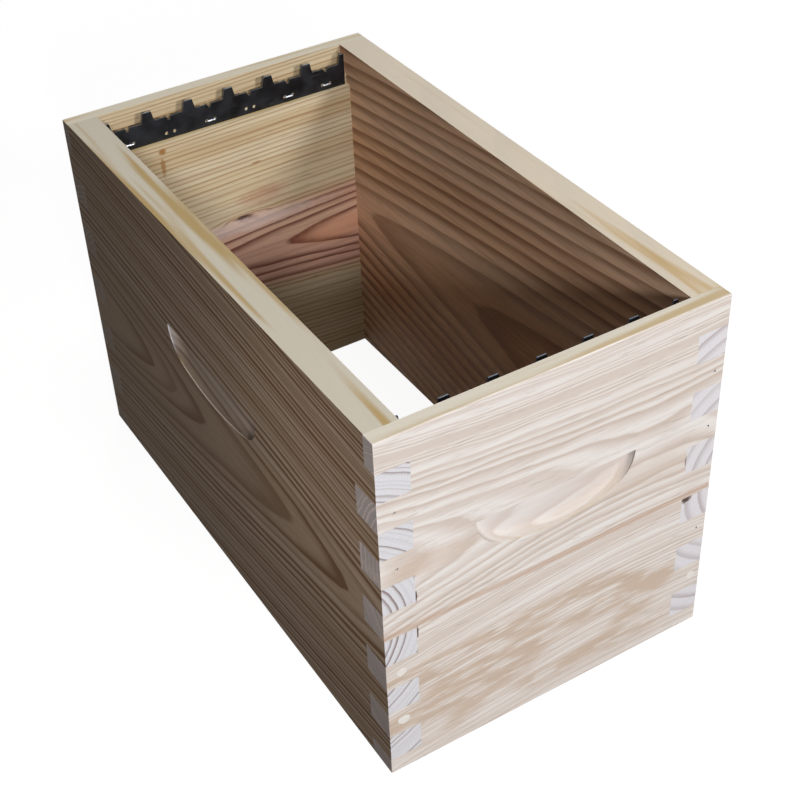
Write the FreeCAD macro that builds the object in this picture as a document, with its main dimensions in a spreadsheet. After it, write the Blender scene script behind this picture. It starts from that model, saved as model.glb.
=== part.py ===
import FreeCAD, Part
import math
import os

import Sketcher

# Driving sizes, in millimetres or counts. One called "drop" is measured down from the rim.
SIZES = [
    ("box_width", 284, "outer width, across the frames"),
    ("box_length", 502, "outer length, along the frames"),
    ("box_height", 315, "outer height"),
    ("wall_thickness", 26, "thickness of every board"),
    ("finger_pitch", 25, "height of one finger of the corner joints"),
    ("finger_gap", 0.1, "glue gap at each flank of a finger"),
    ("eased_edge", 0.8, "radius sanded on the outer edges"),
    ("lip_thickness", 12, "end board left standing behind the frame lugs"),
    ("seat_recess", 4.5, "from the inner wall face back to the front of the frame rest"),
    ("sheet_thickness", 1.2, "sheet metal of the frame rest"),
    ("bay_count", 6, "frames that the rest spaces"),
    ("bay_pitch", 38, "distance from one frame to the next"),
    ("tooth_drop", 4.7, "tips of the teeth"),
    ("tooth_height", 9, "height of a tooth above the shelf that a lug sits on"),
    ("tooth_tip_width", 7.7, "width of a tooth at its tip"),
    ("tooth_root_width", 11.5, "width of a tooth at the shelf"),
    ("notch_mouth", 4.4, "width of the small notch in the middle of a bay"),
    ("notch_floor", 2.2, "width of that notch at its floor"),
    ("notch_depth", 3.2, "depth of that notch"),
    ("rest_height", 29.3, "height of the frame rest, teeth and all"),
    ("rest_end_gap", 2, "room between each end of a rest and the side board"),
    ("near_rest_shift", 1.5, "the near rest sits this far towards the left wall"),
    ("staple_hole", 3.2, "diameter of the punched holes in the frame rest"),
    ("staple_span", 7.6, "distance between the two holes of a pair"),
    ("staple_rise", 5.2, "height of the holes above the bottom of the rest"),
    ("staple_shift", 0.2, "the staples sit this far to the right of their holes"),
    ("staple_wire", 1.5, "diameter of the staple wire"),
    ("staple_bend", 1.2, "radius of the middle of the wire at a staple's shoulders"),
    ("staple_leg", 13, "length of a staple's legs from the middle of its crown"),
    ("drive_clearance", 0.05, "room round a driven fastener"),
    ("brad_length", 55, "length of a corner brad"),
    ("brad_shank", 1.6, "diameter of its shank"),
    ("brad_head", 2.4, "diameter of its head"),
    ("brad_head_height", 0.9, "height of its head"),
    ("brad_point", 3, "length of its point"),
    ("brad_sink", 0.8, "how far its head is punched below the face"),
    ("left_brad_inset", 12.5, "left side face to the brads of the left corners"),
    ("right_brad_inset", 8.5, "right side face to the brads of the right corners"),
    ("handhold_drop", 103, "straight top edge of a handhold"),
    ("handhold_height", 35.5, "height of a handhold"),
    ("handhold_end_radius", 30, "radius at each end of its lower edge"),
    ("handhold_depth", 7, "depth of a handhold"),
    ("handhold_cove", 6, "radius between its floor and its lower wall"),
    ("end_handhold_width", 134, "width of the handholds in the end boards"),
    ("side_handhold_width", 151, "width of the handholds in the side boards"),
]

# Bays whose holes hold a staple, from the left as seen from the near end.
STAPLED_BAYS = (1, 3, 5, 6)

# Fingers that a brad is driven through, from the rim down. The end boards own the odd ones.
BRADDED_FINGERS = (3, 5, 9, 11)

# The cove takes up this much of the handhold's depth at most.
COVE_SHARE = 0.95

TOLERANCE = 1e-4

# Places that several pieces share, as expressions on the sheet.
HALF_WIDTH = "Sizes.box_width / 2"
HALF_LENGTH = "Sizes.box_length / 2"
INNER_WIDTH = "(Sizes.box_width - 2 * Sizes.wall_thickness)"
REST_FRONT = "(Sizes.wall_thickness - Sizes.seat_recess)"
REST_BACK = f"({REST_FRONT} - Sizes.sheet_thickness)"
REST_HALF = f"({INNER_WIDTH} / 2 - Sizes.rest_end_gap)"
REST_BOTTOM_DROP = "(Sizes.tooth_drop + Sizes.rest_height)"
STAPLE_DROP = f"({REST_BOTTOM_DROP} - Sizes.staple_rise)"
CROWN_DEPTH = f"({REST_FRONT} + Sizes.drive_clearance + Sizes.staple_wire / 2)"
STAPLE_BITE = f"(Sizes.staple_leg - {CROWN_DEPTH} + {REST_BACK})"
SHELF_RISE = "(Sizes.rest_height - Sizes.tooth_height)"
SHANK_HOLE = "Sizes.brad_shank + 2 * Sizes.drive_clearance"
HEAD_HOLE = "Sizes.brad_head + 2 * Sizes.drive_clearance"
LEG_HOLE = "Sizes.staple_wire + 2 * Sizes.drive_clearance"
END_SLOTS = "ceil((Sizes.box_height / Sizes.finger_pitch - 1) / 2)"
SIDE_SLOTS = "ceil(Sizes.box_height / Sizes.finger_pitch / 2) - 1"

doc = FreeCAD.newDocument("NucBox")


def make_sheet():
    """Put the driving sizes in a spreadsheet, one row each, with an alias for the value."""
    sizes = doc.addObject("Spreadsheet::Sheet", "Sizes")
    for row, (alias, number, note) in enumerate(SIZES, start=1):
        sizes.set(f"A{row}", note)
        sizes.set(f"B{row}", str(number))
        sizes.setAlias(f"B{row}", alias)
    doc.recompute()
    return sizes


sheet = make_sheet()


def worked_out(expression):
    """The number that an expression on the sheet gives now."""
    return float(sheet.evalExpression(expression))


def below_rim(drop):
    """Height above the ground of a level this far below the rim."""
    return f"Sizes.box_height - ({drop})"


def finger_middle(number):
    """Drop of the middle of a finger, counted from the rim."""
    return f"Sizes.finger_pitch * ({number} - 0.5)"


def bay_middle(number):
    """Where the middle of a bay lies, from the middle of its rest."""
    return f"Sizes.bay_pitch * ({number} - (Sizes.bay_count + 1) / 2)"


def stapled_bays():
    """The stapled bays whose whole hole pair falls on the rest."""
    reach = worked_out(f"{REST_HALF} - (Sizes.staple_span + Sizes.staple_hole) / 2")
    return [number for number in STAPLED_BAYS if abs(worked_out(bay_middle(number))) <= reach]


def place(piece, x, y, z, turn=0, axis=(0, 0, 1)):
    """Turn a piece about an axis and bind its position to the sheet."""
    rotation = FreeCAD.Rotation(FreeCAD.Vector(*axis), turn)
    piece.Placement = FreeCAD.Placement(FreeCAD.Vector(), rotation)
    for direction, expression in (("x", x), ("y", y), ("z", z)):
        piece.setExpression(f"Placement.Base.{direction}", expression)


def new_body(label):
    body = doc.addObject("PartDesign::Body", label)
    body.Label = label
    return body


def origin_plane(body, role):
    return next(plane for plane in body.Origin.OriginFeatures if plane.Role == role)


def new_sketch(body, name, role):
    """A sketch on one of the body's own origin planes."""
    sketch = body.newObject("Sketcher::SketchObject", name)
    sketch.AttachmentSupport = (origin_plane(body, role), [""])
    sketch.MapMode = "FlatFace"
    return sketch


def pin_point(sketch, geometry, point, across, up):
    """Hold a point of a sketch at a place that two expressions give."""
    for kind, expression in (("DistanceX", across), ("DistanceY", up)):
        distance = Sketcher.Constraint(kind, -1, 1, geometry, point, worked_out(expression))
        index = sketch.addConstraint(distance)
        sketch.setExpression(f"Constraints[{index}]", expression)


def polygon(sketch, corners):
    """A closed outline whose corners are pairs of expressions."""
    points = [FreeCAD.Vector(worked_out(across), worked_out(up), 0) for across, up in corners]
    count = len(points)
    lines = []
    for number, point in enumerate(points):
        line = Part.LineSegment(point, points[(number + 1) % count])
        lines.append(sketch.addGeometry(line, False))
    for number, corner in enumerate(corners):
        following = lines[(number + 1) % count]
        sketch.addConstraint(Sketcher.Constraint("Coincident", lines[number], 2, following, 1))
        pin_point(sketch, lines[number], 1, *corner)


def rectangle(sketch, low_across, low_up, high_across, high_up):
    polygon(sketch, [(low_across, low_up), (high_across, low_up),
                     (high_across, high_up), (low_across, high_up)])


def circle(sketch, across, up, diameter):
    centre = FreeCAD.Vector(worked_out(across), worked_out(up), 0)
    width = worked_out(diameter)
    ring = Part.Circle(centre, FreeCAD.Vector(0, 0, 1), width / 2)
    geometry = sketch.addGeometry(ring, False)
    pin_point(sketch, geometry, 3, across, up)
    index = sketch.addConstraint(Sketcher.Constraint("Diameter", geometry, width))
    sketch.setExpression(f"Constraints[{index}]", diameter)


def pad(body, name, sketch, length):
    """Thicken a sketch towards the inside of the box, which is +Y in each piece's own frame."""
    feature = body.newObject("PartDesign::Pad", name)
    feature.Profile = sketch
    feature.Reversed = True
    feature.setExpression("Length", length)
    return feature


def pocket(body, name, sketch, length=None):
    """A pocket to a depth, or through everything where no depth is given."""
    feature = body.newObject("PartDesign::Pocket", name)
    feature.Profile = sketch
    if length is None:
        feature.Type = "ThroughAll"
    else:
        feature.setExpression("Length", length)
    return feature


def row_of(body, name, feature, sketch, axis, spacing, count):
    """Repeat a feature along an axis of its sketch."""
    row = body.newObject("PartDesign::LinearPattern", name)
    row.Originals = [feature]
    row.Direction = (sketch, [axis])
    row.Mode = "Spacing"
    row.setExpression("Offset", spacing)
    row.setExpression("Occurrences", count)
    body.Tip = row
    return row


def on_plane(edge, axis, level):
    """Whether both ends of an edge lie at a level of one axis."""
    return all(abs(getattr(vertex.Point, axis) - level) < TOLERANCE for vertex in edge.Vertexes)


def round_edges(body, name, base, radius, wanted):
    """Round those edges of a feature that the test picks."""
    doc.recompute()
    edges = enumerate(base.Shape.Edges, start=1)
    names = [f"Edge{number}" for number, edge in edges if wanted(edge)]
    feature = body.newObject("PartDesign::Fillet", name)
    feature.Base = (base, names)
    feature.setExpression("Radius", radius)
    return feature


def blank_board(body, length):
    """
    A plain board with its outer edges sanded, in its own frame: X along the board from its middle,
    Y inwards from its outer face, Z up from its lower edge.
    """
    outline = new_sketch(body, "board_outline", "XZ_Plane")
    rectangle(outline, f"-{length} / 2", "0", f"{length} / 2", "Sizes.box_height")
    board = pad(body, "board", outline, "Sizes.wall_thickness")
    end = worked_out(f"{length} / 2")
    rim = worked_out("Sizes.box_height")

    def outer_edge(edge):
        at_end = on_plane(edge, "x", end) or on_plane(edge, "x", -end)
        at_rim = on_plane(edge, "z", 0) or on_plane(edge, "z", rim)
        return on_plane(edge, "y", 0) or (at_end and at_rim)

    round_edges(body, "eased_edges", board, "Sizes.eased_edge", outer_edge)


def at_both_ends(sketch, length, depth, low_up, high_up):
    """The same rectangle at the two ends of a board, from each end inwards."""
    rectangle(sketch, f"{length} / 2 - {depth}", low_up, f"{length} / 2", high_up)
    rectangle(sketch, f"-{length} / 2", low_up, f"{depth} - {length} / 2", high_up)


def finger_slots(body, length, first_drop, count):
    """Slots for the fingers of the neighbouring boards, every second finger down from the first."""
    sketch = new_sketch(body, "slot_outline", "XZ_Plane")
    low = below_rim(f"{first_drop} + Sizes.finger_pitch + Sizes.finger_gap / 2")
    high = below_rim(f"{first_drop} - Sizes.finger_gap / 2")
    at_both_ends(sketch, length, "Sizes.wall_thickness", low, high)
    slot = pocket(body, "slot", sketch)
    slots = row_of(body, "slots", slot, sketch, "V_Axis", "2 * Sizes.finger_pitch", count)
    slots.Reversed = True


def handhold(body, width):
    """A half-moon grip in the outer face: straight above, three arcs below, coved into its floor."""
    inset = f"({width} / 2 - Sizes.handhold_end_radius)"
    tall = "Sizes.handhold_height"
    corner = "Sizes.handhold_end_radius"
    wide_radius = f"({inset} ^ 2 + {tall} ^ 2 - {corner} ^ 2) / (2 * ({tall} - {corner}))"
    level = below_rim("Sizes.handhold_drop")

    half = worked_out(f"{width} / 2")
    reach = worked_out(inset)
    small = worked_out(corner)
    large = worked_out(wide_radius)
    top = worked_out(level)
    middle = top - worked_out(tall) + large
    lean = math.atan2(reach, middle - top)
    down = -math.pi / 2
    facing = FreeCAD.Vector(0, 0, 1)

    sketch = new_sketch(body, "handhold_outline", "XZ_Plane")
    line = Part.LineSegment(FreeCAD.Vector(-half, top, 0), FreeCAD.Vector(half, top, 0))
    right_circle = Part.Circle(FreeCAD.Vector(reach, top, 0), facing, small)
    left_circle = Part.Circle(FreeCAD.Vector(-reach, top, 0), facing, small)
    wide_circle = Part.Circle(FreeCAD.Vector(0, middle, 0), facing, large)
    straight = sketch.addGeometry(line, False)
    right = sketch.addGeometry(Part.ArcOfCircle(right_circle, down + lean, 0), False)
    lower = sketch.addGeometry(Part.ArcOfCircle(wide_circle, down - lean, down + lean), False)
    left = sketch.addGeometry(Part.ArcOfCircle(left_circle, -math.pi, down - lean), False)
    pin_point(sketch, straight, 1, f"-{width} / 2", level)
    pin_point(sketch, straight, 2, f"{width} / 2", level)
    pin_point(sketch, right, 3, inset, level)
    pin_point(sketch, left, 3, f"-{inset}", level)
    sketch.addConstraint(Sketcher.Constraint("Coincident", straight, 2, right, 2))
    sketch.addConstraint(Sketcher.Constraint("Coincident", straight, 1, left, 1))
    sketch.addConstraint(Sketcher.Constraint("Tangent", right, 1, lower, 2))
    sketch.addConstraint(Sketcher.Constraint("Tangent", lower, 1, left, 2))
    index = sketch.addConstraint(Sketcher.Constraint("Radius", lower, large))
    sketch.setExpression(f"Constraints[{index}]", wide_radius)
    grip = pocket(body, "handhold", sketch, "Sizes.handhold_depth")
    floor = worked_out("Sizes.handhold_depth")

    def lower_floor_edge(edge):
        in_handhold = all(abs(vertex.Point.x) <= half + TOLERANCE for vertex in edge.Vertexes)
        return on_plane(edge, "y", floor) and in_handhold and not on_plane(edge, "z", top)

    cove = f"min(Sizes.handhold_cove; {COVE_SHARE} * Sizes.handhold_depth)"
    round_edges(body, "handhold_cove", grip, cove, lower_floor_edge)


class Side:
    """A left or right side of the box: its name, its side of the middle, and its brads' inset."""

    def __init__(self, name, side, brad_inset):
        self.name = name
        self.side = side
        self.turn = 90 * side
        self.brad_inset = brad_inset

    def brad_x(self):
        return f"{self.side} * ({HALF_WIDTH} - {self.brad_inset})"


SIDES = (Side("left", -1, "Sizes.left_brad_inset"), Side("right", 1, "Sizes.right_brad_inset"))


class End:
    """One end of the box: its name, its side of the middle, and its rest's shift."""

    def __init__(self, name, side, rest_shift):
        self.name = name
        self.side = side
        self.turn = 90 * (side + 1)
        self.rest_shift = rest_shift

    def inwards(self, depth):
        """Y of a plane this deep inside the outer face."""
        return f"{self.side} * ({HALF_LENGTH} - ({depth}))"

    def own_x(self, x):
        """X in the end board's own frame of a place given in the box's frame."""
        return f"{-self.side} * ({x})"

    def staple_x(self, number):
        return f"{self.rest_shift} + {bay_middle(number)} + Sizes.staple_shift"


ENDS = (End("near", -1, "-Sizes.near_rest_shift"), End("far", 1, "0"))


def stepped_rebate(body):
    """Room for the frame lugs down to the first finger, and a shallower seat for the rest below it."""
    sketch = new_sketch(body, "rebate_outline", "YZ_Plane")
    ledge = below_rim("Sizes.finger_pitch - Sizes.finger_gap / 2")
    seat = below_rim(REST_BOTTOM_DROP)
    inner = "Sizes.wall_thickness"
    polygon(sketch, [("Sizes.lip_thickness", "Sizes.box_height"), ("Sizes.lip_thickness", ledge),
                     (REST_BACK, ledge), (REST_BACK, seat), (inner, seat), (inner, "Sizes.box_height")])
    rebate = pocket(body, "rebate", sketch)
    rebate.SideType = "Symmetric"


def brad_holes(body, end):
    """Holes through the end board's fingers for the corner brads, wider where their heads sink in."""
    shanks = new_sketch(body, "brad_shank_holes", "XZ_Plane")
    heads = new_sketch(body, "brad_head_holes", "XZ_Plane")
    for number in BRADDED_FINGERS:
        for side in SIDES:
            across = end.own_x(side.brad_x())
            up = below_rim(finger_middle(number))
            circle(shanks, across, up, SHANK_HOLE)
            circle(heads, across, up, HEAD_HOLE)
    pocket(body, "brad_shank_hole", shanks)
    pocket(body, "brad_head_hole", heads, "Sizes.brad_sink + Sizes.brad_head_height")


def staple_holes(body, end):
    """Holes in the seat for the staple legs."""
    sketch = new_sketch(body, "staple_leg_holes", "XZ_Plane")
    sketch.setExpression("AttachmentOffset.Base.z", f"-{REST_BACK}")
    for number in stapled_bays():
        for side in (-1, 1):
            across = end.own_x(f"{end.staple_x(number)} + {side} * Sizes.staple_span / 2")
            circle(sketch, across, below_rim(STAPLE_DROP), LEG_HOLE)
    hole = pocket(body, "staple_leg_hole", sketch, STAPLE_BITE)
    hole.Reversed = True


def end_board(end):
    """An end wall: odd fingers, the rebate that the rest sits in, a handhold and fastener holes."""
    body = new_body(f"{end.name}_end_board")
    blank_board(body, "Sizes.box_width")
    finger_slots(body, "Sizes.box_width", "Sizes.finger_pitch", END_SLOTS)
    stepped_rebate(body)
    handhold(body, "Sizes.end_handhold_width")
    brad_holes(body, end)
    staple_holes(body, end)
    place(body, "0", end.inwards("0"), "0", end.turn)
    return body


def brad_bores(body, side):
    """Blind holes into both ends of a side board, where the brads bite into its end grain."""
    sketch = new_sketch(body, "brad_bore_outline", "YZ_Plane")
    sketch.setExpression("AttachmentOffset.Base.z", HALF_LENGTH)
    for number in BRADDED_FINGERS:
        circle(sketch, side.brad_inset, below_rim(finger_middle(number)), SHANK_HOLE)
    reach = "Sizes.brad_sink + Sizes.brad_length + Sizes.drive_clearance"
    bore = pocket(body, "brad_bore", sketch, reach)
    pair = body.newObject("PartDesign::Mirrored", "brad_bores")
    pair.Originals = [bore]
    pair.MirrorPlane = (origin_plane(body, "YZ_Plane"), [""])
    body.Tip = pair


def side_board(side):
    """A side wall: even fingers, a top notch for each end board's lip, a handhold and brad bores."""
    body = new_body(f"{side.name}_side_board")
    blank_board(body, "Sizes.box_length")
    finger_slots(body, "Sizes.box_length", "2 * Sizes.finger_pitch", SIDE_SLOTS)
    notch = new_sketch(body, "lip_notch_outline", "XZ_Plane")
    low = below_rim("Sizes.finger_pitch + Sizes.finger_gap / 2")
    at_both_ends(notch, "Sizes.box_length", "Sizes.lip_thickness", low, "Sizes.box_height")
    pocket(body, "lip_notch", notch)
    handhold(body, "Sizes.side_handhold_width")
    brad_bores(body, side)
    place(body, f"{side.side} * {HALF_WIDTH}", "0", "0", side.turn)
    return body


def frame_rest(end):
    """The toothed sheet-metal strip that carries and spaces the frame lugs, cut off at half teeth."""
    body = new_body(f"{end.name}_frame_rest")
    blank = new_sketch(body, "strip_outline", "XZ_Plane")
    rectangle(blank, f"-{REST_HALF}", "0", REST_HALF, "Sizes.rest_height")
    pad(body, "strip", blank, "Sizes.sheet_thickness")

    bay = new_sketch(body, "bay_outline", "XZ_Plane")
    middle = bay_middle(1)
    notch_floor = f"{SHELF_RISE} - Sizes.notch_depth"
    left_half = [("(Sizes.bay_pitch - Sizes.tooth_tip_width) / 2", "Sizes.rest_height"),
                 ("(Sizes.bay_pitch - Sizes.tooth_root_width) / 2", SHELF_RISE),
                 ("Sizes.notch_mouth / 2", SHELF_RISE),
                 ("Sizes.notch_floor / 2", notch_floor)]
    outline = [(f"{middle} - {across}", up) for across, up in left_half]
    outline += [(f"{middle} + {across}", up) for across, up in reversed(left_half)]
    polygon(bay, outline)
    bay_cut = pocket(body, "bay", bay)
    row_of(body, "bays", bay_cut, bay, "H_Axis", "Sizes.bay_pitch", "Sizes.bay_count")

    holes = new_sketch(body, "hole_pair_outline", "XZ_Plane")
    for side in ("-", "+"):
        circle(holes, f"{middle} {side} Sizes.staple_span / 2", "Sizes.staple_rise", "Sizes.staple_hole")
    pair = pocket(body, "hole_pair", holes)
    row_of(body, "hole_pairs", pair, holes, "H_Axis", "Sizes.bay_pitch", "Sizes.bay_count")

    place(body, end.rest_shift, end.inwards(REST_BACK), below_rim(REST_BOTTOM_DROP), end.turn)
    return body


def rod(name, diameter, length, x, y, turn, axis):
    """A straight run of wire."""
    wire = doc.addObject("Part::Cylinder", name)
    wire.setExpression("Radius", f"{diameter} / 2")
    wire.setExpression("Height", length)
    place(wire, x, y, "0", turn, axis)
    return wire


def staple_pattern():
    """One staple in its own frame: the crown along X with its middle at the origin, the legs along -Y."""
    span = "Sizes.staple_span"
    bend = "Sizes.staple_bend"
    wire = "Sizes.staple_wire"
    pieces = [rod("crown", wire, f"{span} - 2 * {bend}", f"{bend} - {span} / 2", "0", 90, (0, 1, 0))]
    for name, side, turn in (("left", -1, 90), ("right", 1, 0)):
        leg_length = f"Sizes.staple_leg - {bend}"
        leg = rod(f"{name}_leg", wire, leg_length, f"{side} * {span} / 2", f"-{bend}", 90, (1, 0, 0))
        shoulder = doc.addObject("Part::Torus", f"{name}_shoulder")
        shoulder.Angle3 = 90
        shoulder.setExpression("Radius1", bend)
        shoulder.setExpression("Radius2", f"{wire} / 2")
        place(shoulder, f"{side} * ({span} / 2 - {bend})", f"-{bend}", "0", turn)
        pieces += [leg, shoulder]
    staple = doc.addObject("Part::MultiFuse", "staple")
    staple.Shapes = pieces
    return staple


def brad_pattern():
    """One brad in its own frame: the top of its head at the origin, its point along +Z."""
    body = new_body("brad")
    sketch = new_sketch(body, "half_brad", "XZ_Plane")
    head = "Sizes.brad_head / 2"
    shank = "Sizes.brad_shank / 2"
    polygon(sketch, [("0", "0"), (head, "0"), (head, "Sizes.brad_head_height"),
                     (shank, "Sizes.brad_head_height"), (shank, "Sizes.brad_length - Sizes.brad_point"),
                     ("0", "Sizes.brad_length")])
    turned = body.newObject("PartDesign::Revolution", "turned_brad")
    turned.Profile = sketch
    turned.ReferenceAxis = (sketch, ["V_Axis"])
    return body


def copy_of(pattern, name):
    copy = doc.addObject("App::Link", name)
    copy.LinkedObject = pattern
    copy.LinkTransform = False
    return copy


def group(label, pieces):
    """Separate solids that share one node."""
    together = doc.addObject("Part::Compound", label)
    together.Label = label
    together.Links = pieces
    return together


def rest_staples(end, pattern):
    """The staples that hold one frame rest to its seat."""
    copies = []
    for number in stapled_bays():
        copy = copy_of(pattern, f"{end.name}_staple_{number}")
        place(copy, end.staple_x(number), end.inwards(CROWN_DEPTH), below_rim(STAPLE_DROP), end.turn)
        copies.append(copy)
    return group(f"{end.name}_rest_staples", copies)


def corner_brads(end, side, pattern):
    """The brads of one corner, through the end board's fingers into the side board's end grain."""
    copies = []
    for number in BRADDED_FINGERS:
        copy = copy_of(pattern, f"{end.name}_{side.name}_brad_{number}")
        head = end.inwards("Sizes.brad_sink")
        place(copy, side.brad_x(), head, below_rim(finger_middle(number)), 90 * end.side, (1, 0, 0))
        copies.append(copy)
    return group(f"{end.name}_{side.name}_brads", copies)


def check(node):
    """Stop if a node has no shape or a bad one."""
    shape = node.Shape
    if shape.isNull() or not shape.isValid() or not shape.Solids:
        raise ValueError(f"{node.Label} has no valid solid")
    volume = sum(solid.Volume for solid in shape.Solids)
    print(f"{node.Label}: {len(shape.Solids)} solid(s), {volume / 1000:.2f} cm3")


def main():
    staple = staple_pattern()
    brad = brad_pattern()
    nodes = [side_board(side) for side in SIDES]
    for end in ENDS:
        nodes += [end_board(end), frame_rest(end), rest_staples(end, staple)]
        nodes += [corner_brads(end, side, brad) for side in SIDES]
    doc.recompute()
    failed = [item.Name for item in doc.Objects if {"Invalid", "Error"} & set(item.State)]
    if failed:
        raise ValueError(f"failed objects: {failed}")
    for node in nodes:
        check(node)
    os.makedirs("parts", exist_ok=True)
    for node in nodes:
        node.Shape.exportStep(os.path.join("parts", f"{node.Label}.step"))


main()
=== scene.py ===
# %% [markdown]
# # A nucleus hive body in pine
#
# This file dresses one object: a small open wooden hive body with finger-jointed corners and a toothed
# metal rest inside each end. Its shape is finished before the file starts, so every cell below is about
# surfaces, small additions, light and the camera.
#
# All lengths are in metres. The box stands on z = 0, X runs across it, and Y runs along it from the near
# end, whose outside we see, to the far end, whose inside we see.

# %% Load the box
import math

import bpy
from mathutils import Matrix, Vector


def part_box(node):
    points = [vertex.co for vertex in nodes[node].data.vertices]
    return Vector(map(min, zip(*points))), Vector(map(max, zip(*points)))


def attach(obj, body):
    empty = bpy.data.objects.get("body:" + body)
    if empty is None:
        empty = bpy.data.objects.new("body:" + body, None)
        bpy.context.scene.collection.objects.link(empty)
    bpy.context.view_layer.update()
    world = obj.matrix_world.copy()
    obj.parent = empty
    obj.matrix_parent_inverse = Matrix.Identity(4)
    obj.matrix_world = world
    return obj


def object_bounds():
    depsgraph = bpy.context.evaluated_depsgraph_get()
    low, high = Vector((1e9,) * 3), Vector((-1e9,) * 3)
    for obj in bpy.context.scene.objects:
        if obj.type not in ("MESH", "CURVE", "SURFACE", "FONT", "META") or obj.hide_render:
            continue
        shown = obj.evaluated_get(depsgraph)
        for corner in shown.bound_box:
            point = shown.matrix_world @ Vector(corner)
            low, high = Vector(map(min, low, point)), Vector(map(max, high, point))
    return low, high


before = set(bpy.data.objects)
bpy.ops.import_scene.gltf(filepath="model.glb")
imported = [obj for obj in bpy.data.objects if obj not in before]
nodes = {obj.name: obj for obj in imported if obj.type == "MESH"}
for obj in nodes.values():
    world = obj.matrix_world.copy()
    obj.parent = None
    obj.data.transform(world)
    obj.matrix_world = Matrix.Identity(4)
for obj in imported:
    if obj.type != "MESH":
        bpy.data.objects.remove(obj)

MM = 0.001
box_low, box_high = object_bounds()
WIDTH, LENGTH, HEIGHT = box_high - box_low
print(f"{len(nodes)} nodes, {WIDTH:.3f} x {LENGTH:.3f} x {HEIGHT:.3f} m")

# %% [markdown]
# ## A short way to write node trees
#
# Blender's materials are trees of nodes. In the editor we would drag wires from one socket to the next.
# In a script that becomes long, so we make one helper that adds a node and fills its inputs at once. An
# input gets either a number or the output socket of an earlier node, and the helper works out which of
# the two it is.

# %% The node helper
class Tree:
    """Adds nodes to one node tree. Values may be numbers, colours or other nodes' output sockets."""

    def __init__(self, tree):
        self.tree = tree

    def add(self, kind, inputs=None, **settings):
        node = self.tree.nodes.new(kind)
        for name, value in settings.items():
            setattr(node, name, value)
        for key, value in (inputs or {}).items():
            self.feed(node.inputs[key], value)
        return node

    def feed(self, socket, value):
        if isinstance(value, bpy.types.NodeSocket):
            self.tree.links.new(value, socket)
        else:
            socket.default_value = value

    def math(self, operation, *values, clamp=False):
        node = self.add("ShaderNodeMath", operation=operation, use_clamp=clamp)
        for socket, value in zip(node.inputs, values):
            self.feed(socket, value)
        return node.outputs[0]

    def vector(self, operation, *values):
        node = self.add("ShaderNodeVectorMath", operation=operation)
        sockets = [socket for socket in node.inputs if socket.enabled]
        for socket, value in zip(sockets, values):
            self.feed(socket, value)
        return node.outputs[0]

    def xyz(self, x, y, z):
        return self.add("ShaderNodeCombineXYZ", {0: x, 1: y, 2: z}).outputs[0]

    def parts(self, vector):
        return self.add("ShaderNodeSeparateXYZ", {0: vector}).outputs

    def stretch(self, place, seed, along, deep, high):
        """A place moved by a seed and scaled each way, for a noise that is longer one way than another."""
        shift = self.vector("SCALE", (1.0, 1.7, 0.6), seed)
        moved = self.vector("MULTIPLY_ADD", place, (along, deep, high), shift)
        return moved

    def noise(self, vector, detail=2.0, output=0):
        """Soft noise around 0.5, with features about one unit across."""
        inputs = {"Vector": vector, "Scale": 1.0, "Detail": detail}
        return self.add("ShaderNodeTexNoise", inputs).outputs[output]

    def noise_along(self, value):
        """The same along one number."""
        settings = {"W": value, "Scale": 1.0, "Detail": 0.0}
        return self.add("ShaderNodeTexNoise", settings, noise_dimensions="1D").outputs[0]

    def ease(self, value, low, high, to_low=0.0, to_high=1.0):
        """A smooth step: to_low up to low, to_high from high on."""
        inputs = {"Value": value, "From Min": low, "From Max": high, "To Min": to_low, "To Max": to_high}
        return self.add("ShaderNodeMapRange", inputs, interpolation_type="SMOOTHSTEP").outputs[0]

    def mix(self, share, first, second, blend="MIX"):
        """Two colours mixed by a share from 0 to 1."""
        node = self.add("ShaderNodeMix", {"Factor": share}, data_type="RGBA", blend_type=blend)
        self.feed(node.inputs["A"], first)
        self.feed(node.inputs["B"], second)
        colours = [socket for socket in node.outputs if socket.type == "RGBA"]
        return colours[0]


def srgb(red, green, blue):
    """A colour as a screen shows it, from 0 to 255, turned into the linear light that Blender works in."""
    def linear(value):
        value /= 255
        return value / 12.92 if value <= 0.04045 else ((value + 0.055) / 1.055) ** 2.4
    return (linear(red), linear(green), linear(blue), 1.0)


# %% [markdown]
# ## Wood is solid
#
# A board is a slice of a tree. The tree grows one ring a year round its pith, and the saw cuts through
# those rings: across them the end grain shows arcs, along them the face shows lines, and where the saw
# comes close to the pith the lines close into tall arches. We could paint each face by itself, but then
# the pattern would not meet at the edges. So we make the rings in space, as nested tubes round a pith
# that runs beside the board, and let every face, cut and hollow slice through them, just as the saw did.
#
# The distance from the pith is the only number that matters. It leans and bends a little along the board,
# which is what makes the arches, and soft noise makes the lines wander. Rings get narrower as the tree
# ages, and a knot pushes them aside.

# %% The growth rings
RING_INPUTS = ("Pith depth", "Pith height", "Depth lean", "Height lean", "Taper", "Bow", "Ring width",
               "Ageing", "Unevenness", "Late start", "Wander", "Ripple", "Swell", "Seed")


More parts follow.
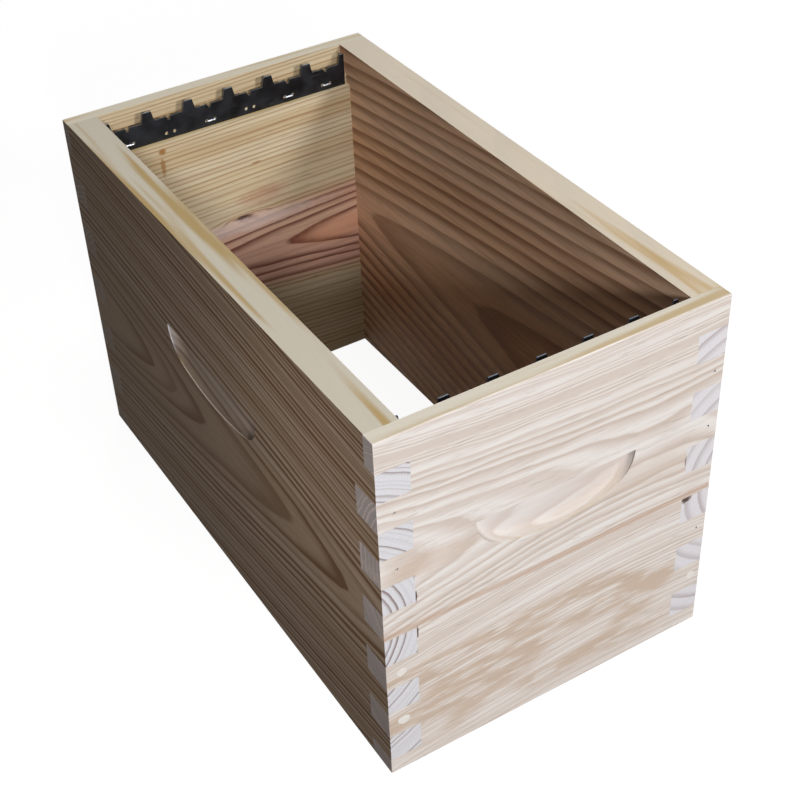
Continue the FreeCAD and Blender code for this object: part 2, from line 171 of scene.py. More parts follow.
def growth_ring_group():
    """A node group: a place in the board in, growth rings out."""
    group = bpy.data.node_groups.new("growth_rings", "ShaderNodeTree")
    sockets = group.interface
    sockets.new_socket("Place", in_out="INPUT", socket_type="NodeSocketVector")
    for name in RING_INPUTS:
        sockets.new_socket(name, in_out="INPUT", socket_type="NodeSocketFloat")
    for name in ("Radius", "Late wood", "Early wood", "Strength", "Zone"):
        sockets.new_socket(name, in_out="OUTPUT", socket_type="NodeSocketFloat")
    tree = Tree(group)
    given = tree.add("NodeGroupInput").outputs
    place, seed = given["Place"], given["Seed"]
    along, depth, height = tree.parts(place)

    drift = tree.noise(tree.stretch(place, seed, 2.6, 5.0, 5.0), detail=1.0, output=1)
    _, drift_depth, drift_height = tree.parts(tree.vector("SUBTRACT", drift, (0.5, 0.5, 0.5)))
    wander = tree.math("MULTIPLY", given["Wander"], 4.0)
    pith_depth = tree.math("MULTIPLY_ADD", along, given["Depth lean"], given["Pith depth"])
    pith_height = tree.math("MULTIPLY_ADD", along, given["Height lean"], given["Pith height"])
    away = tree.math("MULTIPLY_ADD", drift_depth, wander, tree.math("SUBTRACT", depth, pith_depth))
    above = tree.math("MULTIPLY_ADD", drift_height, wander, tree.math("SUBTRACT", height, pith_height))
    square = tree.math("MULTIPLY_ADD", above, above, tree.math("MULTIPLY", away, away))
    radius = tree.math("MULTIPLY_ADD", along, given["Taper"], tree.math("SQRT", square))
    radius = tree.math("MULTIPLY_ADD", tree.math("MULTIPLY", along, along), given["Bow"], radius)
    ripple = tree.noise(tree.stretch(place, seed, 14.0, 55.0, 55.0), detail=2.0)
    radius = tree.math("MULTIPLY_ADD", tree.math("SUBTRACT", ripple, 0.5), given["Ripple"], radius)
    radius = tree.math("ADD", radius, given["Swell"])

    older = tree.math("MULTIPLY_ADD", radius, given["Ageing"], 1.0)
    count = tree.math("DIVIDE", tree.math("MULTIPLY", radius, older), given["Ring width"])
    uneven = tree.noise_along(tree.math("MULTIPLY_ADD", count, 0.55, seed))
    count = tree.math("MULTIPLY_ADD", tree.math("SUBTRACT", uneven, 0.5), given["Unevenness"], count)
    zone = tree.noise_along(tree.math("MULTIPLY_ADD", count, 0.23, seed))
    ring = tree.math("FRACT", count)
    number = tree.math("ADD", tree.math("FLOOR", count), seed)
    strength = tree.add("ShaderNodeTexWhiteNoise", {"W": number}, noise_dimensions="1D").outputs[0]
    late = tree.math("POWER", tree.ease(ring, given["Late start"], 0.88), 1.7)
    late = tree.math("MULTIPLY", late, tree.ease(ring, 0.92, 1.0, 1.0, 0.0))
    early = tree.math("MULTIPLY", tree.ease(ring, 0.0, 0.12), tree.ease(ring, 0.25, 0.55, 1.0, 0.0))
    made = {"Radius": radius, "Late wood": late, "Early wood": early, "Strength": strength, "Zone": zone}
    tree.add("NodeGroupOutput", made)
    return group


rings = growth_ring_group()
print(f"group {rings.name}: {len(rings.nodes)} nodes")

# %% [markdown]
# ## Four boards, four slices
#
# Each board gets its own pith, so no two look alike. Inside a board's own coordinates, X runs along the
# grain from its middle, Y goes from the outer face inwards, and Z goes up. A Mapping node turns the box's
# coordinates into the board's. The numbers come from reading the arcs and arches on the real box. Most
# boards also carry marks: a knot, a resin streak, a torn corner or a thin dark stroke of painted shade in
# an open joint, each a soft ball squeezed to size.

# %% The timber of each board
HANDHOLD_TOP, HANDHOLD_TALL, HANDHOLD_DEPTH = HEIGHT - 103 * MM, 35.5 * MM, 7 * MM
HANDHOLD_HALF = 78 * MM


class Mark:
    """
    A spot in the wood, or a stroke of painted shade in a joint: where it is, how far it reaches each way,
    its colour and how softly that fades.
    A knot also bends the rings round itself.
    """

    def __init__(self, centre, reach, colour, strength=0.9, fade=1.3, swell=0.0):
        self.centre = [value * MM for value in centre]
        self.reach = [value * MM for value in reach]
        self.colour, self.strength, self.fade = colour, strength, fade
        self.swell = swell * MM


class Timber:
    """
    Where a board sat in the tree, its colours, and its marks. Lengths are in millimetres.

    turn: degrees from the near board. pith: depth behind the outer face and drop below the rim.
    lean, taper, bow: how the pith tilts and how the rings narrow and bend along the board.
    ring, ageing, uneven: width of a ring, how fast rings get narrower outwards, and how irregular they are.
    late: where in a ring the dark late wood starts. wander, ripple: slow and quick waves in the lines.
    pale, warm, dark, heart: colours. heart_edge: radii between which the heart fades out.
    contrast, faintest: strength of the lines and of the weakest one. sheen: how much the finish mirrors.
    fresh: how much of a handhold's cut colour shows, its up-facing cove in painted shade.
    chalk, stain: pale and brown patches.
    """

    def __init__(self, turn, pith, lean, taper, ring, ageing, seed, pale, warm, dark, heart, bow=0.0,
                 uneven=1.4, late=0.3, wander=4.0, ripple=2.2, heart_edge=(30, 60), heart_dark=None,
                 heart_lines=0.0, contrast=1.0, faintest=0.35, end=srgb(232, 232, 238), end_contrast=1.0,
                 sheen=0.12, fresh=0.45, chalk=None, stain=None, stain_heights=(0, 1), marks=()):
        self.turn = turn
        self.pale, self.warm, self.dark, self.heart = pale, warm, dark, heart
        self.heart_dark = heart_dark or dark
        self.heart_edge = [value * MM for value in heart_edge]
        self.contrast, self.heart_lines, self.faintest = contrast, heart_lines, faintest
        self.end, self.end_contrast = end, end_contrast
        self.seed, self.marks = seed, marks
        self.sheen, self.fresh, self.chalk, self.stain = sheen, fresh, chalk, stain
        self.stain_heights = [value * MM for value in stain_heights]
        self.rings = {
            "Pith depth": pith[0] * MM, "Pith height": HEIGHT - pith[1] * MM,
            "Depth lean": lean[0], "Height lean": lean[1], "Taper": taper, "Bow": bow,
            "Ring width": ring * MM, "Ageing": ageing, "Unevenness": uneven, "Late start": late,
            "Wander": wander * MM, "Ripple": ripple * MM, "Seed": seed,
        }


# BARK_AND_GAP_SHADE: dark brown for bark, knots and ducts, and also painted shade in open joint gaps.
RESIN, BARK_AND_GAP_SHADE = srgb(158, 112, 58), srgb(70, 44, 34)
HALF_LENGTH = LENGTH / 2 / MM
RIM = HEIGHT / MM
TIMBER = {
    "near_end_board": Timber(
        turn=0, pith=(-60, 106), lean=(0.0, 0.01), taper=0.042, bow=-0.38, ring=6.6, ageing=3.4, seed=3.1,
        pale=srgb(229, 221, 216), warm=srgb(219, 208, 200), dark=srgb(196, 177, 163),
        heart=srgb(224, 212, 204), wander=5.0, ripple=4.8, contrast=0.65, end=srgb(108, 100, 97),
        chalk=srgb(242, 240, 238), stain=srgb(203, 182, 163), stain_heights=(6, 112),
        marks=(Mark((-40, 0, RIM - 172), (260, 3, 2.0), srgb(184, 144, 112), 0.5, fade=2.0),
               Mark((-105, 2, RIM - 118), (24, 30, 7.0), srgb(206, 182, 164), 0.5, fade=2.0),
               Mark((75, 2, RIM - 130), (30, 30, 8.0), srgb(206, 186, 170), 0.35, fade=2.0),
               # These three thin dark strokes at the finger ends are painted shade in open joint gaps.
               Mark((-115.6, 0, RIM - 145), (0.9, 6, 5.0), BARK_AND_GAP_SHADE, 0.9, fade=1.3),
               Mark((-115.6, 0, RIM - 180), (0.9, 6, 5.5), BARK_AND_GAP_SHADE, 0.9, fade=1.3),
               Mark((115.8, 0, RIM - 137), (0.8, 6, 5.0), BARK_AND_GAP_SHADE, 0.7, fade=1.3))),
    "far_end_board": Timber(
        turn=180, pith=(58.2, 174), lean=(0.0, 0.01), taper=0.045, ring=5.4, ageing=1.2, seed=7.4,
        pale=srgb(219, 205, 175), warm=srgb(205, 185, 147), dark=srgb(158, 114, 76),
        heart=srgb(222, 178, 156), heart_edge=(44, 56), heart_dark=srgb(106, 46, 34), heart_lines=1.2,
        uneven=0.7, contrast=0.7, faintest=0.5, end=srgb(106, 97, 92),
        marks=(Mark((1, 26, 184), (9, 14, 2.0), BARK_AND_GAP_SHADE, 0.95, fade=1.4, swell=-5.0),
               Mark((69, 26, RIM - 42), (2.6, 3, 2.4), RESIN, fade=1.6),
               Mark((70, 26, RIM - 57), (1.8, 3, 7.0), RESIN, 0.75, fade=1.6),
               Mark((-17, 26, RIM - 80), (4.0, 3, 0.9), RESIN, 0.7, fade=1.6),
               Mark((-20, 26, RIM - 114), (14, 4, 5.0), srgb(170, 104, 78), 0.4, fade=2.5),
               Mark((10, 26, 176), (60, 6, 5.0), srgb(236, 214, 206), 0.6, fade=2.0),
               Mark((-96, 26, 140), (30, 6, 8.0), srgb(226, 156, 116), 0.45, fade=2.0))),
    # Left board: colours darkened far below the others' as painted shade for its shaded face; rims stay
    # cream.
    "left_side_board": Timber(
        turn=-90, pith=(-50, 168), lean=(0.0, 0.02), taper=0.075, ring=8.6, ageing=3.0, seed=11.8,
        pale=srgb(137, 120, 104), warm=srgb(122, 103, 84), dark=srgb(79, 55, 33),
        heart=srgb(130, 110, 91), uneven=0.9, late=0.15, contrast=1.7, faintest=0.3, sheen=0.03, fresh=0.12),
    # Right board: faces more orange than its cream rims, partly own tone, partly painted warm bounce light.
    "right_side_board": Timber(
        turn=90, pith=(-19, 160), lean=(0.09, 0.03), taper=0.17, ring=12.5, ageing=0.2, seed=5.6,
        pale=srgb(242, 206, 175), warm=srgb(226, 182, 144), dark=srgb(122, 70, 46),
        heart=srgb(221, 165, 117), uneven=0.3, late=0.1, ripple=1.6, contrast=0.75, faintest=0.6,
        end=srgb(225, 226, 234), end_contrast=0.5,
        marks=(Mark((-HALF_LENGTH, 22, RIM - 176), (12, 4.5, 3.2), BARK_AND_GAP_SHADE, 0.9, fade=1.5),)),
}
for name, timber in TIMBER.items():
    print(f"{name}: {len(timber.marks)} marks, pith {timber.rings['Pith height'] / MM:.0f} mm up")

# %% [markdown]
# ## The pine finish
#
# Planed pine has three scales of detail. The rings give the bold lines. Between them, fine fibres and
# resin ducts run with the grain, a hair wide and a finger long. And the ends of the fibres, wherever the
# board is cut across, are paler, greyer and rougher, because they are open. We tell end grain from face
# by how closely the surface's normal follows the grain.

# %% The pine material
ALONG_X = (1.0, 0.0, 0.0)
ALONG_Y = (0.0, 1.0, 0.0)
RIM_SOFTNESS = 0.40
RIM_SHARE = 0.8
CHALK_SHARE = 0.45
FIBRE_DEPTH = 0.25 * MM
RIM_CREAM, RIM_OCHRE = srgb(235, 227, 208), srgb(206, 178, 124)
# FRESH_UPWARD_SHADED: a handhold's up-facing cove, a little darker than its floor, is painted shade.
FRESH_PINK, FRESH_UPWARD_SHADED = srgb(222, 214, 212), srgb(212, 204, 196)


def board_place(tree, timber):
    """The box's coordinates turned into the board's own."""
    half = LENGTH / 2 if timber.turn in (0, 180) else WIDTH / 2
    seen = tree.add("ShaderNodeTexCoord").outputs["Object"]
    turn = (0.0, 0.0, math.radians(-timber.turn))
    mapping = tree.add("ShaderNodeMapping", {"Vector": seen, "Location": (0.0, half, 0.0), "Rotation": turn})
    return mapping.outputs[0]


def end_grain_share(tree, timber):
    """1 where the surface is cut across the grain, 0 where it follows it."""
    grain = ALONG_X if timber.turn in (0, 180) else ALONG_Y
    normal = tree.add("ShaderNodeNewGeometry").outputs["Normal"]
    dot = tree.add("ShaderNodeVectorMath", {0: normal, 1: grain}, operation="DOT_PRODUCT")
    facing = tree.math("ABSOLUTE", dot.outputs["Value"])
    return tree.ease(facing, 0.55, 0.95)


def rim_share(tree):
    """1 on the upper and lower edges of a board, where sanding has softened the lines."""
    normal = tree.add("ShaderNodeNewGeometry").outputs["Normal"]
    return tree.ease(tree.math("ABSOLUTE", tree.parts(normal)[2]), 0.80, 0.98)


def mark_distance(tree, place, mark):
    """How far a place is from the middle of a mark, where 1 is the mark's own edge."""
    offset = tree.vector("SUBTRACT", place, mark.centre)
    offset = tree.vector("DIVIDE", offset, mark.reach)
    rough = tree.noise(tree.vector("MULTIPLY", place, (160.0, 400.0, 400.0)), detail=1.0)
    far = tree.add("ShaderNodeVectorMath", {0: offset}, operation="LENGTH").outputs["Value"]
    return tree.math("MULTIPLY_ADD", tree.math("SUBTRACT", rough, 0.5), 0.9, far)


def handhold_share(tree, place):
    """1 on the freshly cut surface inside a handhold, and 0 elsewhere."""
    along, depth, height = tree.parts(place)
    inside = tree.ease(depth, 0.3 * MM, 1.5 * MM)
    inside = tree.math("MULTIPLY", inside, tree.ease(depth, HANDHOLD_DEPTH, HANDHOLD_DEPTH + MM, 1.0, 0.0))
    sideways = tree.ease(tree.math("ABSOLUTE", along), HANDHOLD_HALF, HANDHOLD_HALF + 2 * MM, 1.0, 0.0)
    low = tree.ease(height, HANDHOLD_TOP - HANDHOLD_TALL - 2 * MM, HANDHOLD_TOP - HANDHOLD_TALL)
    high = tree.ease(height, HANDHOLD_TOP + 0.2 * MM, HANDHOLD_TOP + 1.2 * MM, 1.0, 0.0)
    inside = tree.math("MULTIPLY", inside, sideways)
    return tree.math("MULTIPLY", inside, tree.math("MULTIPLY", low, high))


def stained(tree, timber, place, base):
    """Mottled brown patches: one noise says where they gather, a finer one breaks them up."""
    height = tree.parts(place)[2]
    low, high = timber.stain_heights
    band = tree.ease(height, low, low + 20 * MM)
    band = tree.math("MULTIPLY", band, tree.ease(height, high - 15 * MM, high, 1.0, 0.0))
    where = tree.noise(tree.stretch(place, timber.seed + 8, 9.0, 30.0, 30.0), detail=1.0)
    smear = tree.noise(tree.stretch(place, timber.seed + 5, 30.0, 170.0, 170.0), detail=5.0)
    share = tree.math("MULTIPLY", tree.ease(where, 0.40, 0.54), tree.ease(smear, 0.38, 0.58, 0.1, 0.95))
    share = tree.math("MULTIPLY", band, share)
    return tree.mix(share, base, timber.stain)


def rim_colour(tree, timber, place):
    """Cream, with a slow ochre streak where one ring runs along the narrow edge."""
    streaks = tree.noise(tree.stretch(place, timber.seed + 9, 3.5, 75.0, 75.0), detail=2.0)
    return tree.mix(tree.ease(streaks, 0.48, 0.64), RIM_CREAM, RIM_OCHRE)


def face_colour(tree, timber, place, wood, line, heart):
    """The colour of a face that follows the grain."""
    seed = timber.seed
    normal = tree.add("ShaderNodeNewGeometry").outputs["Normal"]
    patches = tree.noise(tree.stretch(place, seed + 2, 4.0, 14.0, 14.0), detail=1.0)
    threads = tree.noise(tree.stretch(place, seed + 4, 9.0, 320.0, 320.0), detail=2.0)
    ducts = tree.noise(tree.stretch(place, seed + 6, 60.0, 1500.0, 1500.0), detail=0.0)
    base = tree.mix(tree.ease(wood["Zone"], 0.35, 0.7, 0.0, 0.8), timber.pale, timber.warm)
    base = tree.mix(heart, base, timber.heart)
    base = tree.mix(tree.ease(patches, 0.40, 0.75, 0.0, 0.5), base, timber.warm)
    if timber.chalk:
        base = tree.mix(tree.math("MULTIPLY", wood["Early wood"], CHALK_SHARE), base, timber.chalk)
    if timber.stain:
        base = stained(tree, timber, place, base)
    ink = tree.mix(heart, timber.dark, timber.heart_dark)
    face = tree.mix(line, base, ink)
    face = tree.mix(tree.ease(threads, 0.35, 0.8, 0.0, 0.30), face, ink)
    face = tree.mix(tree.ease(ducts, 0.70, 0.80, 0.0, 0.35), face, tree.mix(0.5, ink, BARK_AND_GAP_SHADE))
    scooped = handhold_share(tree, place)
    # Tops and bottoms take the cream rim colour; on the side boards this is also lit tops against
    # painted-shade faces.
    cream_rim_share = tree.math("MULTIPLY", rim_share(tree), tree.ease(scooped, 0.0, 1.0, RIM_SHARE, 0.0))
    face = tree.mix(cream_rim_share, face, rim_colour(tree, timber, place))
    # Up-facing parts of a handhold take the darker colour: painted shade against the light from above.
    fresh = tree.mix(tree.ease(tree.parts(normal)[2], 0.1, 0.7), FRESH_PINK, FRESH_UPWARD_SHADED)
    return tree.mix(tree.math("MULTIPLY", scooped, timber.fresh), face, fresh)


def end_colour(tree, timber, line, speckle):
    """The colour of a face cut across the grain: open fibres, pale and a little cold."""
    open_pale = tree.mix(0.88, timber.pale, timber.end)
    open_dark = tree.mix(0.8, timber.dark, srgb(158, 142, 142))
    thin = tree.math("MULTIPLY", tree.math("POWER", line, 1.8), timber.end_contrast)
    across = tree.mix(thin, open_pale, open_dark)
    return tree.mix(tree.ease(speckle, 0.35, 0.75, 0.0, 0.15), across, open_dark)


def pine(name, timber):
    """Planed, unpainted pine for one board."""
    material = bpy.data.materials.new(f"pine_{name}")
    material.use_nodes = True
    tree = Tree(material.node_tree)
    shader = material.node_tree.nodes["Principled BSDF"]
    place = board_place(tree, timber)
    distances = [mark_distance(tree, place, mark) for mark in timber.marks]
    swell = 0.0
    for mark, distance in zip(timber.marks, distances):
        if mark.swell:
            swell = tree.math("ADD", swell, tree.ease(distance, 0.5, 4.0, mark.swell, 0.0))
    group = tree.add("ShaderNodeGroup", node_tree=rings)
    for key, value in {"Place": place, "Swell": swell, **timber.rings}.items():
        tree.feed(group.inputs[key], value)
    wood = group.outputs
    heart = tree.ease(wood["Radius"], *timber.heart_edge, 1.0, 0.0)
    strength = tree.ease(wood["Strength"], 0.0, 1.0, timber.faintest, 1.0)
    strength = tree.math("MAXIMUM", strength, tree.math("MULTIPLY", heart, timber.heart_lines))
    line = tree.math("MULTIPLY", wood["Late wood"], strength)
    grain = line
    line = tree.math("MULTIPLY", line, timber.contrast, clamp=True)
    line = tree.math("MULTIPLY", line, tree.ease(rim_share(tree), 0.0, 1.0, 1.0, RIM_SOFTNESS))

    speckle = tree.noise(tree.vector("MULTIPLY", place, (900.0, 900.0, 900.0)), detail=1.0)
    scooped = tree.math("MULTIPLY", handhold_share(tree, place), 0.8)
    cut = tree.math("MULTIPLY", end_grain_share(tree, timber), tree.math("SUBTRACT", 1.0, scooped))
    face = face_colour(tree, timber, place, wood, line, heart)
    colour = tree.mix(cut, face, end_colour(tree, timber, grain, speckle))
    for mark, distance in zip(timber.marks, distances):
        colour = tree.mix(tree.ease(distance, 0.7, mark.fade, mark.strength, 0.0), colour, mark.colour)
    tree.feed(shader.inputs["Base Color"], colour)
    tree.feed(shader.inputs["Roughness"], tree.ease(cut, 0.0, 1.0, 0.58, 0.82))
    shader.inputs["IOR"].default_value = 1.45
    shader.inputs["Specular IOR Level"].default_value = timber.sheen
    fibres = tree.noise(tree.stretch(place, timber.seed, 22.0, 900.0, 900.0), detail=1.0)
    bump = tree.add("ShaderNodeBump", {"Strength": 0.3, "Distance": FIBRE_DEPTH, "Height": fibres})
    tree.feed(shader.inputs["Normal"], bump.outputs[0])
    return material


def dress(node, material):
    """Give a CAD node its finish, and leave its mesh as it is."""
    node.data.materials.clear()
    node.data.materials.append(material)


for name, timber in TIMBER.items():
    dress(nodes[name], pine(name, timber))
    print(f"{name}: dressed in pine")

# %% [markdown]
# ## Dark sheet metal
#
# The rests are stamped from thin steel with a near-black finish. The face is satin and a little uneven,
# with faint handling marks. Every edge of the sheet gets a lighter blue-grey colour and more metal, a
# painted highlight for the thin line of light that the upper edge of every tooth catches. The normal tells
# us where an edge is: the strip's faces look along Y, its edges don't.

# %% The metal finishes
def sheet_metal():
    material = bpy.data.materials.new("dark_sheet_metal")
    material.use_nodes = True
    tree = Tree(material.node_tree)
    shader = material.node_tree.nodes["Principled BSDF"]
    place = tree.add("ShaderNodeTexCoord").outputs["Object"]
    normal = tree.add("ShaderNodeNewGeometry").outputs["Normal"]
    facing = tree.math("ABSOLUTE", tree.parts(normal)[1])
    # painted highlight: every edge of the sheet gets a lighter blue-grey and more metal
    edge = tree.ease(facing, 0.3, 0.8, 1.0, 0.0)
    clouds = tree.noise(tree.stretch(place, 2.0, 60.0, 60.0, 60.0), detail=4.0)
    scratches = tree.noise(tree.stretch(place, 5.0, 40.0, 40.0, 900.0))
    face = tree.mix(tree.ease(clouds, 0.35, 0.7), srgb(18, 19, 22), srgb(36, 38, 44))
    face = tree.mix(tree.ease(scratches, 0.66, 0.8, 0.0, 0.35), face, srgb(120, 126, 134))
    colour = tree.mix(edge, face, srgb(96, 104, 116))
    tree.feed(shader.inputs["Base Color"], colour)
    tree.feed(shader.inputs["Roughness"], tree.ease(clouds, 0.3, 0.7, 0.34, 0.5))
    tree.feed(shader.inputs["Metallic"], tree.ease(edge, 0.0, 1.0, 0.35, 0.6))
    bump = tree.add("ShaderNodeBump", {"Strength": 0.15, "Distance": 0.1 * MM, "Height": clouds})
    tree.feed(shader.inputs["Normal"], bump.outputs[0])
    return material


def bright_wire():
    material = bpy.data.materials.new("bright_wire")
    material.use_nodes = True
    tree = Tree(material.node_tree)
    shader = material.node_tree.nodes["Principled BSDF"]
    place = tree.add("ShaderNodeTexCoord").outputs["Object"]
    marks = tree.noise(tree.stretch(place, 1.0, 700.0, 700.0, 700.0))
    tree.feed(shader.inputs["Base Color"], tree.mix(marks, srgb(196, 202, 212), srgb(232, 236, 242)))
    tree.feed(shader.inputs["Roughness"], tree.ease(marks, 0.3, 0.7, 0.22, 0.42))
    shader.inputs["Metallic"].default_value = 1.0
    return material


metal, wire = sheet_metal(), bright_wire()
for name in nodes:
    if name.endswith("frame_rest"):
        dress(nodes[name], metal)
    if name.endswith(("staples", "brads")):
        dress(nodes[name], wire)
print("metal on", [name for name in nodes if not name.endswith("board")])

# %% [markdown]
# ## Filler over the brads
#
# Brads hold the corners, driven through the end boards' fingers. On the real box some of their holes were
# dabbed over with pale filler, which dried as small flat smears a hair proud of the wood, and the rest
# were left open. A dab is always the same thing in another place, so geometry nodes make them: one
# flattened ball on every point we give, each turned into its own size, with noise pushing its outline
# about. We bake the result into a plain mesh, because the finished box is handed over without node trees.

# %% The filler
FINGER_PITCH = 25 * MM
FILLED = {"near_left_brads": (9, 11), "near_right_brads": (11,),
          "far_left_brads": (5, 11), "far_right_brads": (9, 11)}


def filler_finish():
    material = bpy.data.materials.new("filler")
    material.use_nodes = True
    tree = Tree(material.node_tree)
    shader = material.node_tree.nodes["Principled BSDF"]
    place = tree.add("ShaderNodeTexCoord").outputs["Object"]
    grit = tree.noise(tree.stretch(place, 1.0, 500.0, 500.0, 500.0))
    tree.feed(shader.inputs["Base Color"], tree.mix(grit, srgb(222, 218, 211), srgb(240, 237, 231)))
    shader.inputs["Roughness"].default_value = 0.85
    return material


def filler_tree():
    """Geometry nodes that put a dab on every point of a mesh."""
    group = bpy.data.node_groups.new("filler_dabs", "GeometryNodeTree")
    sockets = group.interface
    sockets.new_socket("Points", in_out="INPUT", socket_type="NodeSocketGeometry")
    for name in ("Width", "Proud", "Raggedness"):
        sockets.new_socket(name, in_out="INPUT", socket_type="NodeSocketFloat")
    sockets.new_socket("Seed", in_out="INPUT", socket_type="NodeSocketInt")
    sockets.new_socket("Finish", in_out="INPUT", socket_type="NodeSocketMaterial")
    sockets.new_socket("Dabs", in_out="OUTPUT", socket_type="NodeSocketGeometry")
    tree = Tree(group)
    given = tree.add("NodeGroupInput").outputs
    ball = tree.add("GeometryNodeMeshIcoSphere", {"Radius": 0.5, "Subdivisions": 5}).outputs[0]
    size = tree.add("FunctionNodeRandomValue", {"Seed": given["Seed"]}, data_type="FLOAT")
    size.inputs[2].default_value, size.inputs[3].default_value = 0.7, 1.15
    wide = tree.math("MULTIPLY", given["Width"], size.outputs[1])
    thick = tree.math("MULTIPLY", given["Proud"], 2.0)
    scale = tree.xyz(wide, thick, tree.math("MULTIPLY", wide, 0.8))
    placing = {"Points": given["Points"], "Instance": ball, "Scale": scale}
    dabs = tree.add("GeometryNodeInstanceOnPoints", placing)
    plain = tree.add("GeometryNodeRealizeInstances", {0: dabs.outputs[0]}).outputs[0]
    spot = tree.add("GeometryNodeInputPosition").outputs[0]
    push = tree.noise(tree.stretch(spot, 4.0, 190.0, 190.0, 190.0), output=1)
    push = tree.vector("SUBTRACT", push, (0.5, 0.5, 0.5))
    push = tree.vector("MULTIPLY", push, tree.xyz(given["Raggedness"], 0.0, given["Raggedness"]))
    ragged = tree.add("GeometryNodeSetPosition", {"Geometry": plain, "Offset": push}).outputs[0]
    smooth = tree.add("GeometryNodeSetShadeSmooth", {0: ragged}).outputs[0]
    done = tree.add("GeometryNodeSetMaterial", {"Geometry": smooth, "Material": given["Finish"]}).outputs[0]
    tree.add("NodeGroupOutput", {"Dabs": done})
    return group


def baked(thing):
    """Swap an object's mesh for what its geometry nodes make, and drop the nodes."""
    seen = thing.evaluated_get(bpy.context.evaluated_depsgraph_get())
    mesh = bpy.data.meshes.new_from_object(seen)
    thing.modifiers.clear()
    thing.data = mesh
    return thing


def filler(name, places, group, settings):
    points = bpy.data.meshes.new(name)
    points.from_pydata(places, [], [])
    thing = bpy.data.objects.new(name, points)
    bpy.context.scene.collection.objects.link(thing)
    modifier = thing.modifiers.new("dabs", "NODES")
    modifier.node_group = group
    for socket in group.interface.items_tree:
        if socket.name in settings:
            modifier[socket.identifier] = settings[socket.name]
    baked(thing)
    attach(thing, "root")
    return thing


def brad_heads(node_name, fingers):
    """Where the brads of one corner go in, on the outer face of the end board."""
    low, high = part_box(node_name)
    x = (low.x + high.x) / 2
    y = math.copysign(LENGTH / 2, low.y)
    return [(x, y, HEIGHT - FINGER_PITCH * (finger - 0.5)) for finger in fingers]


dab_group = filler_tree()
dab_settings = {"Width": 9 * MM, "Proud": 0.12 * MM, "Raggedness": 4 * MM, "Seed": 5,
                "Finish": filler_finish()}
for name, fingers in FILLED.items():
    corner = name.removesuffix("_brads")
    dabs = filler(f"{corner}_filler", brad_heads(name, fingers), dab_group, dab_settings)
    print(f"{dabs.name}: {len(fingers)} dabs, {len(dabs.data.vertices)} points")

# %% [markdown]
# ## Floor, light and camera
#
# The box was photographed on white. A floor that is lit until it is white would throw that light back at
# the wood, so the floor only looks white: the camera sees it glow a little, and every other ray meets a
# plain pale surface. It still takes the box's shadow. The brightest lamp stands in front and a little to
# the right, where it throws the corner of the box's own shadow on the far wall. A weaker one to the left
# of it grazes the right wall, a third hangs overhead, and a fourth stands behind for anyone who walks
# round. The fifth is tiny and close to the near left corner. Light fades with the square of its distance,
# so a close lamp makes the left face darken towards the far end, which a distant one can't. It is hidden
# from the camera, because from some sides it would stand in the picture.

# %% The floor
FLOOR_SIZE = 60.0
FLOOR_GLOW = 0.90
FLOOR_PLAIN = (0.11, 0.10, 0.085, 1)
FLOOR_DIM = (0.20, 0.20, 0.20, 1)


def pale_floor():
    half = FLOOR_SIZE / 2
    mesh = bpy.data.meshes.new("floor")
    corners = [(-half, -half, 0), (half, -half, 0), (half, half, 0), (-half, half, 0)]
    mesh.from_pydata(corners, [], [(0, 1, 2, 3)])
    floor = bpy.data.objects.new("floor", mesh)
    bpy.context.scene.collection.objects.link(floor)
    material = bpy.data.materials.new("pale_floor")
    material.use_nodes = True
    tree = Tree(material.node_tree)
    material.node_tree.nodes.remove(material.node_tree.nodes["Principled BSDF"])
    seen = tree.add("ShaderNodeLightPath").outputs
    direct = tree.math("MAXIMUM", seen["Is Camera Ray"], seen["Is Glossy Ray"])
    direct = tree.math("MAXIMUM", direct, seen["Is Transmission Ray"])
    plain = tree.add("ShaderNodeBsdfDiffuse", {"Color": FLOOR_PLAIN}).outputs[0]
    dim = tree.add("ShaderNodeBsdfDiffuse", {"Color": FLOOR_DIM}).outputs[0]
    glow = tree.add("ShaderNodeEmission", {"Strength": FLOOR_GLOW}).outputs[0]
    white = tree.add("ShaderNodeAddShader", {0: dim, 1: glow}).outputs[0]
    surface = tree.add("ShaderNodeMixShader", {0: direct, 1: plain, 2: white}).outputs[0]
    tree.feed(material.node_tree.nodes["Material Output"].inputs["Surface"], surface)
    mesh.materials.append(material)
    return floor


pale_floor()
print(f"floor {FLOOR_SIZE} m across")

# %% The light
ROOM_FILL = (0.034, 0.031, 0.028, 1)


def white_room():
    """White for the eye and for reflections, and a soft grey fill for everything else."""
    world = bpy.data.worlds.new("white_room")
    bpy.context.scene.world = world
    world.use_nodes = True
    tree = Tree(world.node_tree)
    seen = tree.add("ShaderNodeLightPath").outputs
    direct = tree.math("MAXIMUM", seen["Is Camera Ray"], seen["Is Transmission Ray"])
    direct = tree.math("MAXIMUM", direct, seen["Is Glossy Ray"])
    colour = tree.mix(direct, ROOM_FILL, (1, 1, 1, 1))
    tree.feed(world.node_tree.nodes["Background"].inputs["Color"], colour)


def direction(azimuth, elevation):
    """From the box towards a lamp or the camera. Azimuth 0 is in front of the near end, 90 to its right."""
    around, up = math.radians(azimuth), math.radians(elevation)
    return Vector((math.sin(around) * math.cos(up), -math.cos(around) * math.cos(up), math.sin(up)))


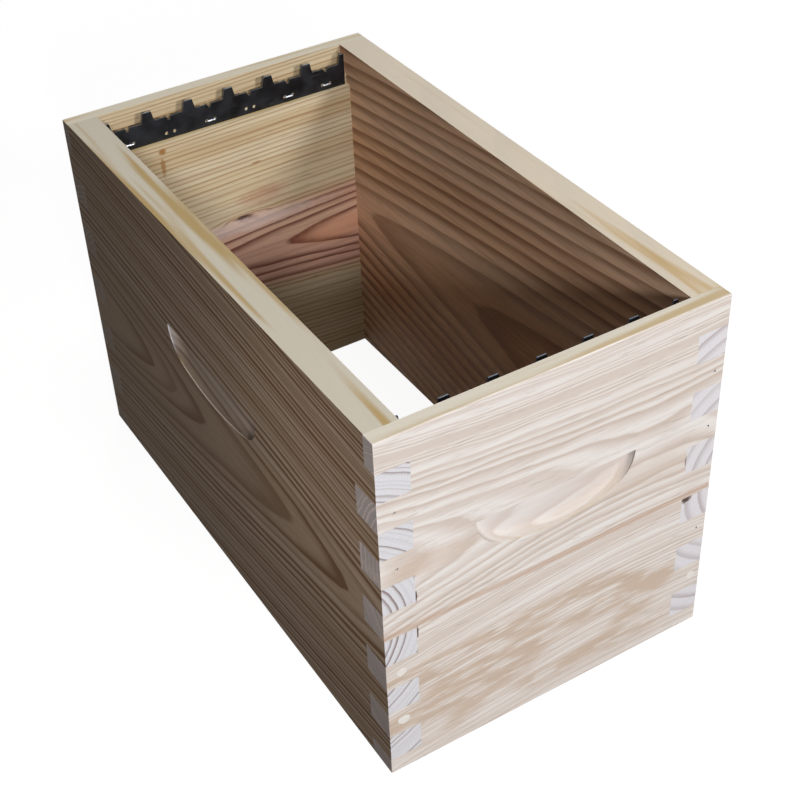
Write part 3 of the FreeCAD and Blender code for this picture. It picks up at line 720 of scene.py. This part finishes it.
def soft_lamp(name, azimuth, elevation, distance, width, height, power):
    """A soft box on the sphere round the object, facing its middle. Lengths in metres, power in watts."""
    back = direction(azimuth, elevation)
    lamp = bpy.data.lights.new(name, "AREA")
    lamp.shape = "RECTANGLE"
    lamp.size, lamp.size_y = width, height
    lamp.energy = power
    stand = bpy.data.objects.new(name, lamp)
    stand.location = Vector((0, 0, HEIGHT / 2)) + back * distance
    stand.rotation_euler = back.to_track_quat("Z", "Y").to_euler()
    bpy.context.scene.collection.objects.link(stand)
    return stand


white_room()
soft_lamp("key_lamp", 19, 24, 3.0, 0.5, 0.4, 41)
soft_lamp("side_lamp", -20, 24, 3.0, 0.4, 0.4, 38)
corner_lamp = soft_lamp("corner_lamp", -57, 14, 0.47, 0.08, 0.08, 0.40)
corner_lamp.visible_camera = False
soft_lamp("top_lamp", 0, 80, 2.6, 1.0, 1.0, 19)
soft_lamp("back_lamp", 155, 28, 3.0, 1.2, 1.2, 12)
print("five soft lamps and a white room")

# %% [markdown]
# The camera stands where the photographer stood. It was found by lining up the box's twelve sharpest
# corners, so its place and lens are plain numbers here, turned into Blender's terms: a direction by
# azimuth and elevation, a small roll, and a focal length for a sensor 36 mm wide.

# %% The camera
PICTURE = 800
SENSOR = 36.0
FOCAL_PIXELS = 1521.27
AZIMUTH, ELEVATION, ROLL = -30.008, 38.473, -2.538
STATION = (-0.47757, -0.86790, 0.90661)


def photographers_camera():
    back = direction(AZIMUTH, ELEVATION)
    right = Vector((0, 0, 1)).cross(back).normalized()
    over = back.cross(right)
    axes = Matrix((right, over, back)).transposed()
    tilt = Matrix.Rotation(math.radians(ROLL), 3, "Z")
    lens = bpy.data.cameras.new("camera")
    lens.sensor_width = SENSOR
    lens.lens = FOCAL_PIXELS / PICTURE * SENSOR
    camera = bpy.data.objects.new("camera", lens)
    camera.matrix_world = Matrix.Translation(STATION) @ (axes @ tilt).to_4x4()
    bpy.context.scene.collection.objects.link(camera)
    bpy.context.scene.camera = camera
    return camera


photographers_camera()
bpy.context.scene.view_settings.view_transform = "Standard"
print("camera ready")
